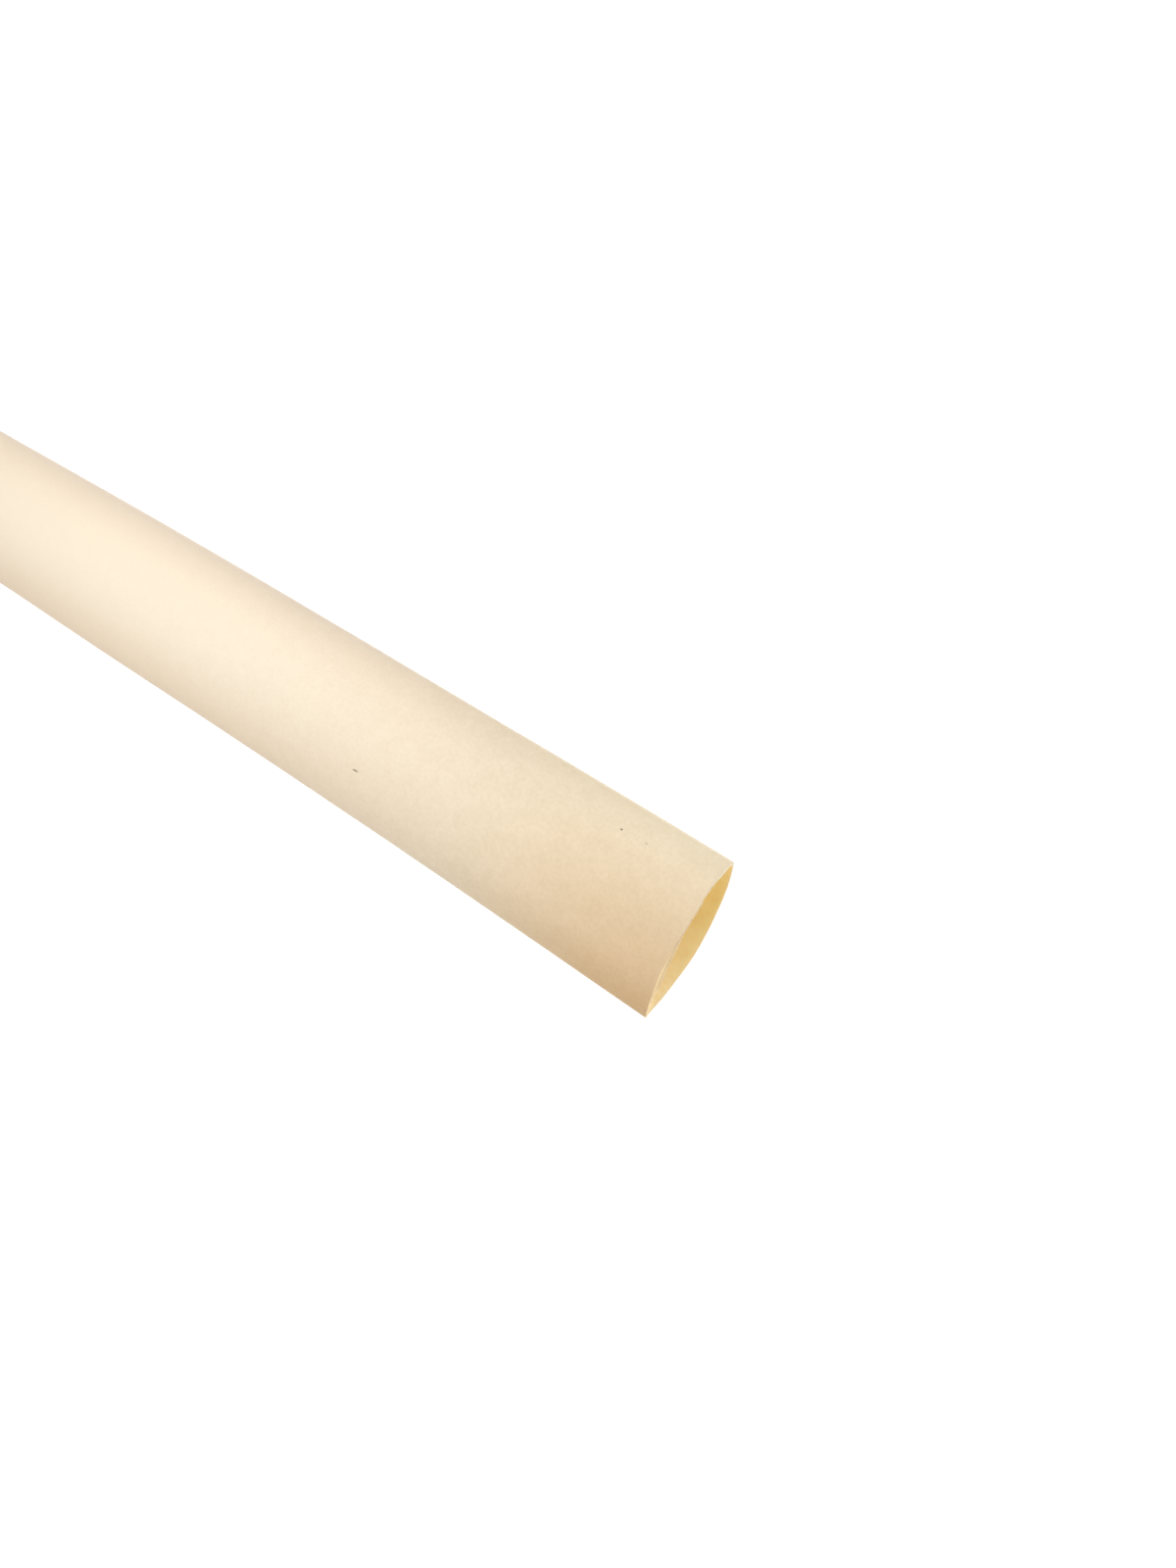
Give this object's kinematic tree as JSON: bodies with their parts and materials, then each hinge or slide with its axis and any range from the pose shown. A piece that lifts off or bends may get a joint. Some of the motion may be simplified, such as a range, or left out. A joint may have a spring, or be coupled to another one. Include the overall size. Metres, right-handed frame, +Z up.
{
  "type": "heat shrink tube",
  "caption": "Cut length of thin-walled cream heat shrink sleeving, supplied flat and opened to a creased lens section, open at both ends.",
  "frame": {"origin": "centre of the tube's footprint, on the surface it lies on", "axes": "+X along the tube towards its open mouth, +Z up, creases to each side along Y"},
  "size_m": [0.1524, 0.0188, 0.0094],
  "materials": {
    "cream_polyolefin": "matt ivory, smooth as extruded"
  },
  "bodies": {
    "root": {"heat_shrink_tube": "cream_polyolefin"}
  },
  "joints": []
}
